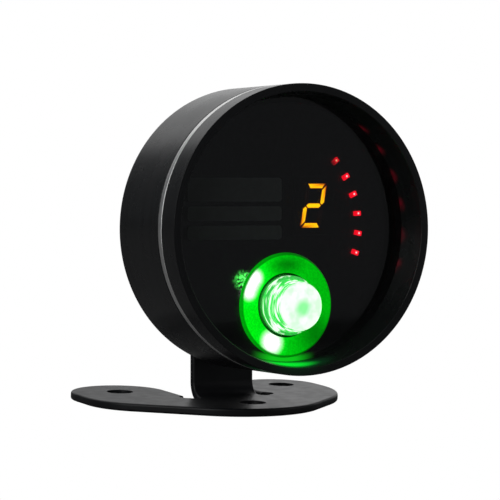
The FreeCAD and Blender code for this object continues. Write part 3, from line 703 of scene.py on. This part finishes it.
def ease_edges(node, width):
    """Break sharp edges by this many millimetres with modifiers, which leave the mesh as it is."""
    weld = node.modifiers.new("weld", "WELD")
    weld.merge_threshold = 0.001 * MM
    bevel = node.modifiers.new("bevel", "BEVEL")
    bevel.width = width * MM
    bevel.segments = 3
    bevel.limit_method = "ANGLE"
    bevel.angle_limit = math.radians(50)
    node.modifiers.new("normals", "WEIGHTED_NORMAL").keep_sharp = True


# ---- Housing ----

def cup_outline():
    """Half section of the cup: its lip, its wall, and its back with the hole for the bolt."""
    lip = span("trim_ring")[0]
    wall = HOUSING_R - CUP_WALL
    floor = span("clamp_bolt")[2] + BOLT_HEAD
    step = span("front_bezel")[3] + 0.1
    return rounded([
        (lip, CUP_FRONT), (HOUSING_R, CUP_FRONT, 0.18), (HOUSING_R, CUP_BACK, 0.7),
        (BOLT_R, CUP_BACK, 0), (BOLT_R, floor, 0), (wall, floor), (wall, step), (lip, step)])


def hole(radius, back, depth=4.0, chamfer=0.2):
    """Outline of a cutter for a hole through a wall whose outer side is at this depth."""
    return [(0, back - depth), (radius, back - depth), (radius, back - chamfer),
            (radius + chamfer, back), (radius + chamfer, back + 1), (0, back + 1)]


def build_housing():
    """The cup with its two rear holes, the bezel and the bare ring between them."""
    outline = cup_outline()
    black = FINISH["black_anodised"]
    holes = [(hole(INLET_HOLE_R, CUP_BACK), INLET.x, INLET.z),
             (hole(BUTTON_HOLE_R, CUP_BACK), BUTTON.x, BUTTON.z)]
    lathe_piece("housing_cup", outline, black, "head", "black_anodised", ["housing_shell"], holes=holes)
    rim_in, _, front, back = span("front_bezel")
    ring_in, _, ring_front, ring_back = span("trim_ring")
    seat = FACE_EDGE_R + 0.05
    bezel = rounded([
        (rim_in + 0.95, front, 0.15), (HOUSING_R, front, 0.12),
        (HOUSING_R, ring_front, 0.18), (ring_in - 0.05, ring_front, 0), (ring_in - 0.05, back),
        (seat, back), (seat, FACE_Y, 0), (rim_in, FACE_Y, 0.05)])
    lathe_piece("bezel_ring", bezel, lit_bezel(), "head", "black_anodised", ["front_bezel"])
    trim = rounded([
        (ring_in, ring_front), (HOUSING_R, ring_front, 0.45), (HOUSING_R, ring_back, 0.45),
        (ring_in, ring_back)])
    lathe_piece("bare_trim_ring", trim, FINISH["bare_aluminium"], "head", "bare_aluminium", ["trim_ring"])


# ---- Face ----

def build_face():
    """The smoked sheet, with a hole for the lamp's sleeve."""
    outline = rounded([(0, FACE_Y, 0), (FACE_EDGE_R, FACE_Y), (FACE_EDGE_R, FACE_BACK), (0, FACE_BACK, 0)])
    sleeve = span("smoked_lens", *LAMP)[0]
    bore = [(0, FACE_Y - 1), (sleeve, FACE_Y - 1), (sleeve, FACE_BACK + 1), (0, FACE_BACK + 1)]
    lathe_piece("smoked_face", outline, FINISH["smoked_acrylic"], "head", "smoked_acrylic",
                ["smoked_lens"], holes=[(bore, *LAMP)])


BAR_HEIGHTS = (4.9, 3.0, 2.9)
BAR_GAP = 0.95
BAR_MARGIN = 3.7
BAR_CORNER = 0.7
INK_DEPTH = 0.03
SEGMENT_CORNER = 0.10
SEGMENT_RIM = 0.17


def build_print():
    """Three plain bars in place of the face's print, between the face's edge and the digit."""
    ink = print_ink()
    digit = head_points("digit_body")
    right = min(point.x for point in digit) - BAR_MARGIN
    left = BAR_MARGIN - BEZEL_R
    top = max(point.z for point in digit) - 0.3
    for number, height in enumerate(BAR_HEIGHTS):
        middle = top - height / 2
        centre = (left + right) / 2
        bar = slab(right - left, height, FACE_Y - INK_DEPTH, FACE_Y, centre, middle, BAR_CORNER)
        target = object_from("face_bar_%d" % (number + 1), bar)
        soften(target)
        finish_piece(target, ink, "head")
        top -= height + BAR_GAP


def build_segments(node, name, surface):
    """Digit segments from the CAD node, with rounded corners and a value that falls off at their edge."""
    mesh = bmesh.new()
    mesh.from_mesh(frame["nodes"][node].data)
    layer = mesh.verts.layers.float.new("inside")
    bmesh.ops.transform(mesh, matrix=Matrix.Scale(1 / MM, 4) @ TO_HEAD, verts=mesh.verts)
    bmesh.ops.remove_doubles(mesh, verts=mesh.verts, dist=0.002)
    bmesh.ops.dissolve_limit(mesh, angle_limit=0.02, verts=mesh.verts, edges=mesh.edges)
    corners = [edge for edge in mesh.edges
               if abs((edge.verts[0].co - edge.verts[1].co).normalized().y) > 0.99]
    bmesh.ops.bevel(mesh, geom=corners, offset=SEGMENT_CORNER, segments=3, profile=0.5, affect="EDGES")
    bmesh.ops.recalc_face_normals(mesh, faces=mesh.faces)
    mesh.normal_update()
    fronts = [face for face in mesh.faces if face.normal.y < -0.99]
    bmesh.ops.inset_individual(mesh, faces=fronts, thickness=SEGMENT_RIM, depth=0.0)
    mesh.normal_update()
    for vertex in mesh.verts:
        on_front = all(face.normal.y < -0.9 for face in vertex.link_faces)
        vertex[layer] = 1.0 if on_front else 0.0
    target = object_from(name, mesh)
    target.data.set_sharp_from_angle(angle=SMOOTH_ANGLE)
    return finish_piece(target, surface, "head", [node])


def long_direction(points):
    """Angle in degrees, in the XZ plane, of the narrowest strip that holds the points."""
    def width(degrees):
        angle = math.radians(degrees)
        across = [point.z * math.cos(angle) - point.x * math.sin(angle) for point in points]
        return max(across) - min(across)
    return min((step / 4 for step in range(-360, 360)), key=width)


def build_leds():
    """Six LEDs, each with its own origin, and x along its length, outwards from the arc."""
    for number, node in enumerate(LEDS, 1):
        points = head_points(node)
        degrees = long_direction(points)
        turn = Matrix.Rotation(math.radians(degrees), 4, "Y")
        aligned = [turn @ point for point in points]
        size = [max(point[k] for point in aligned) - min(point[k] for point in aligned) for k in range(3)]
        mesh = bmesh.new()
        bmesh.ops.create_cube(mesh, size=1.0)
        bmesh.ops.scale(mesh, vec=size, verts=mesh.verts)
        bmesh.ops.bevel(mesh, geom=mesh.edges[:], offset=0.12, segments=3, profile=0.5, affect="EDGES")
        mesh.faces.ensure_lookup_table()
        front = min(mesh.faces, key=lambda face: face.calc_center_median().y)
        bmesh.ops.inset_individual(mesh, faces=[front], thickness=0.08, depth=-0.05)
        turn_back = Matrix.Rotation(math.radians(-degrees), 4, "Y")
        place = HEAD @ Matrix.Translation(head_centre(node) * MM) @ turn_back
        target = object_from("led_%d" % number, mesh, place)
        soften(target)
        surface = red_led("red_led_dim", True) if number == 1 else FINISH["red_led"]
        finish_piece(target, surface, "head", [node])


# ---- Lamp ----

def build_lamp():
    """The lamp's dished metal holder and its clear cap, with three ridges on the cap's side."""
    bore, flange, crest, sleeve_end = span("lamp_reflector", *LAMP)
    sleeve = span("smoked_lens", *LAMP)[0] - 0.05
    dish_start = bore + BORE_CHAMFER
    dish_width = FLANGE_CREST - 0.2 - dish_start
    steps = 10
    dish = []
    for step in range(steps + 1):
        t = step / steps
        dish.append((dish_start + dish_width * t, crest + DISH_DEPTH * (1 - t ** 2), 0))
    outline = rounded([(bore, crest + DISH_DEPTH + BORE_CHAMFER), *dish, (FLANGE_CREST, crest, 0.1),
                       (flange, FACE_Y, 0), (sleeve, FACE_Y, 0), (sleeve, sleeve_end), (bore, sleeve_end)])
    lathe_piece("lamp_dish", outline, FINISH["polished_aluminium"], "head", "polished_aluminium",
                ["lamp_reflector"], *LAMP)
    _, foot, tip, back = span("lamp_lens", *LAMP)
    edge_r = 5.05
    collar_r = foot - 0.2
    collar_y = tip + 4.6
    ridges = []
    for step in range(3):
        y = tip + 1.3 + 1.05 * step
        r = edge_r + 0.12 + 0.2 * step
        ridges += [(r - 0.18, y, 0.1), (r + 0.05, y + 0.3, 0.2), (r - 0.12, y + 0.75, 0.1)]
    lens = rounded([
        (0, tip, 0), (2.5, tip + 0.12, 0), (4.1, tip + 0.33, 0), (edge_r, tip + 0.52, 0.25),
        (edge_r - 0.1, tip + 1.0, 0.1), *ridges,
        (edge_r + 0.6, collar_y, 0.15), (collar_r, collar_y + 0.2, 0.1),
        (collar_r, back - 1.4), (foot, back - 1.2), (foot, back), (4.7, back), (4.7, tip + 5.4, 1.5),
        (3.4, tip + 3.4, 1.2), (0, tip + 2.6, 0)], 0.1)
    lathe_piece("lamp_cap", lens, FINISH["clear_plastic"], "head", "clear_plastic", ["lamp_lens"], *LAMP)


# ---- Rear fittings ----

def build_boss():
    """Turned boss on the cup's back, with a neck, a groove and a notch that clears the inlet."""
    _, foot_r, front, back = span("clamp_boss")
    neck_r = foot_r - 2
    groove_r = foot_r - 2.35
    boss = rounded([
        (BOLT_R, front, 0), (foot_r, front, 0), (foot_r, front + 1.6, 0.3),
        (neck_r, front + 2.6, 0.5), (neck_r, front + 4.0, 0.1), (groove_r, front + 4.3, 0.1),
        (groove_r, front + 5.3, 0.1), (neck_r, front + 5.6, 0.1), (neck_r, back, 0.5), (BOLT_R, back, 0)])
    notch_r = 5.3
    notch = [(0, front - 1), (notch_r, front - 1), (notch_r, front + 3), (0, front + 3)]
    lathe_piece("rear_boss", boss, FINISH["black_anodised"], "head", "black_anodised", ["clamp_boss"],
                holes=[(notch, INLET.x, INLET.z)])


def build_inlet():
    """Rubber grommet that grips the cup's back wall and holds the lead."""
    bore, flange, front, back = span("lead_grommet", INLET.x, INLET.z)
    neck = INLET_HOLE_R
    wall = CUP_BACK - 2.25
    grommet = rounded([
        (bore, front), (flange - 0.7, front, 0.3), (flange - 0.3, wall, 0), (neck, wall, 0),
        (neck, CUP_BACK, 0), (flange, CUP_BACK, 0.1), (flange, CUP_BACK + 0.7, 0.3),
        (flange - 0.9, back, 0.4), (bore + 0.5, back, 0.2), (bore, back - 0.5, 0.2)])
    lathe_piece("lead_inlet_grommet", grommet, FINISH["black_rubber"], "head", "black_rubber",
                ["lead_grommet"], INLET.x, INLET.z)


def build_button():
    """Moulded button with a skirt inside the wall and a slightly hollow end."""
    _, skirt, front, back = span("setup_button", BUTTON.x, BUTTON.z)
    stem = 2.2
    cap = rounded([
        (0, front, 0), (skirt, front), (skirt, front + 1), (stem, front + 1), (stem, back, 0.35),
        (stem - 0.7, back, 0.1), (stem - 1.0, back - 0.12, 0.2), (0, back - 0.22, 0)])
    lathe_piece("setup_cap", cap, FINISH["black_plastic"], "button", "black_plastic", ["setup_button"],
                BUTTON.x, BUTTON.z)


def build_bolt_thread():
    """Thread on the bolt's visible end, from the washer to the tip."""
    start = span("flat_washer")[2]
    end = span("clamp_bolt")[3]
    tail = object_from("bolt_thread", threaded(0, 0, BOLT_R - 0.05, start, end, 0.8, 0.42))
    soften(tail)
    finish_piece(tail, FINISH["black_steel"], "head")


# ---- Stage, camera and light ----

CAMERA_AZIMUTH = 28.51
CAMERA_ELEVATION = 1.37
CAMERA_DISTANCE = 470.0
CAMERA_AIM = (-9.88, 5.42, -4.15)
CAMERA_LENS = 165.17
FLOOR_HALF_WIDTH = 3000.0


def build_camera():
    """Camera in front of the head and to its left, placed by the values above."""
    data = bpy.data.cameras.new("camera")
    data.lens = CAMERA_LENS
    data.sensor_width = 36.0
    data.clip_start = 0.01
    data.clip_end = 20.0
    camera = bpy.data.objects.new("camera", data)
    bpy.context.scene.collection.objects.link(camera)
    azimuth = math.radians(CAMERA_AZIMUTH)
    elevation = math.radians(CAMERA_ELEVATION)
    level = math.cos(elevation)
    forward = Vector((math.sin(azimuth) * level, math.cos(azimuth) * level, -math.sin(elevation)))
    place = (Vector(CAMERA_AIM) - CAMERA_DISTANCE * forward) * MM
    right = forward.cross(Vector((0, 0, 1))).normalized()
    up = right.cross(forward).normalized()
    turn = Matrix((right, up, -forward)).transposed().to_4x4()
    camera.matrix_world = HEAD @ Matrix.Translation(place) @ turn
    bpy.context.scene.camera = camera


def softbox(name, place, size, power, colour=WHITE, target=(0.0, 0.0, 0.035)):
    """A soft light that shows in reflections and not to the camera."""
    data = bpy.data.lights.new(name, "AREA")
    data.shape = "RECTANGLE"
    data.size, data.size_y = size
    data.energy = power
    data.color = colour
    light = bpy.data.objects.new(name, data)
    bpy.context.scene.collection.objects.link(light)
    light.location = place
    light.rotation_euler = (Vector(target) - Vector(place)).to_track_quat("-Z", "Y").to_euler()
    light.visible_camera = False
    return light


def stage_shader(tree, seen, seen_strength, lit):
    """What the camera sees, mixed with what everything else is lit by."""
    path = tree.nodes.new("ShaderNodeLightPath")
    mixer = tree.nodes.new("ShaderNodeMixShader")
    tree.links.new(path.outputs["Is Camera Ray"], mixer.inputs[0])
    tree.links.new(lit, mixer.inputs[1])
    seen.inputs["Color"].default_value = (1, 1, 1, 1)
    seen.inputs["Strength"].default_value = seen_strength
    tree.links.new(seen.outputs[0], mixer.inputs[2])
    return mixer.outputs[0]


def build_world():
    """White to the camera, and a weak cool light to everything else."""
    world = bpy.data.worlds.new("studio")
    world.use_nodes = True
    tree = world.node_tree
    lit = tree.nodes["Background"]
    lit.inputs["Color"].default_value = (0.92, 0.96, 1.0, 1)
    lit.inputs["Strength"].default_value = 0.10
    seen = tree.nodes.new("ShaderNodeBackground")
    shader = stage_shader(tree, seen, 1.0, lit.outputs[0])
    tree.links.new(shader, tree.nodes["World Output"].inputs["Surface"])
    bpy.context.scene.world = world


def build_floor():
    """A wide floor that is white to the camera and grey to everything else."""
    mesh = bmesh.new()
    bmesh.ops.create_grid(mesh, x_segments=8, y_segments=8, size=FLOOR_HALF_WIDTH)
    floor = object_from("floor", mesh, Matrix.Identity(4))
    material = bpy.data.materials.new("pale_floor")
    material.use_nodes = True
    tree = material.node_tree
    paint = tree.nodes["Principled BSDF"]
    paint.inputs["Base Color"].default_value = (0.16, 0.16, 0.16, 1)
    paint.inputs["Roughness"].default_value = 0.8
    seen = tree.nodes.new("ShaderNodeEmission")
    shader = stage_shader(tree, seen, 1.0, paint.outputs[0])
    tree.links.new(shader, tree.nodes["Material Output"].inputs["Surface"])
    floor.data.materials.append(material)


def build_lights():
    """Six softboxes, and a small green light in front of the lamp that rides on the head."""
    softbox("back_softbox", (0.30, 0.75, 0.40), (1.0, 0.55), 1.3)
    softbox("top_softbox", (0.0, 0.0, 0.9), (0.6, 0.6), 0.6)
    softbox("front_softbox", (0.75, -0.55, 0.25), (0.5, 0.9), 0.7)
    softbox("high_back_softbox", (-0.25, 0.55, 0.95), (0.8, 0.5), 1.3)
    softbox("low_back_softbox", (0.85, 0.75, 0.05), (0.9, 0.5), 1.0)
    softbox("left_softbox", (-0.80, -0.42, 0.45), (0.5, 0.8), 3.0)
    glow = bpy.data.lights.new("lamp_glow", "POINT")
    glow.color = (0.0, 1.0, 0.03)
    glow.energy = 0.0010
    glow.shadow_soft_size = 4 * MM
    spill = bpy.data.objects.new("lamp_glow", glow)
    bpy.context.scene.collection.objects.link(spill)
    spill.location = HEAD @ (Vector((LAMP[0], -2.5, LAMP[1] - 3.0)) * MM)
    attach(spill, "head")


# ---- Build everything ----

dress_cad_nodes()
build_housing()
build_face()
build_print()
build_segments("digit_segments_lit", "digit_lit", FINISH["amber_segment"])
build_segments("digit_segments_unlit", "digit_unlit", FINISH["unlit_segment"])
build_leds()
build_lamp()
build_boss()
build_inlet()
build_button()
build_bolt_thread()
build_camera()
build_world()
build_floor()
build_lights()
bpy.context.scene.view_settings.view_transform = "Standard"
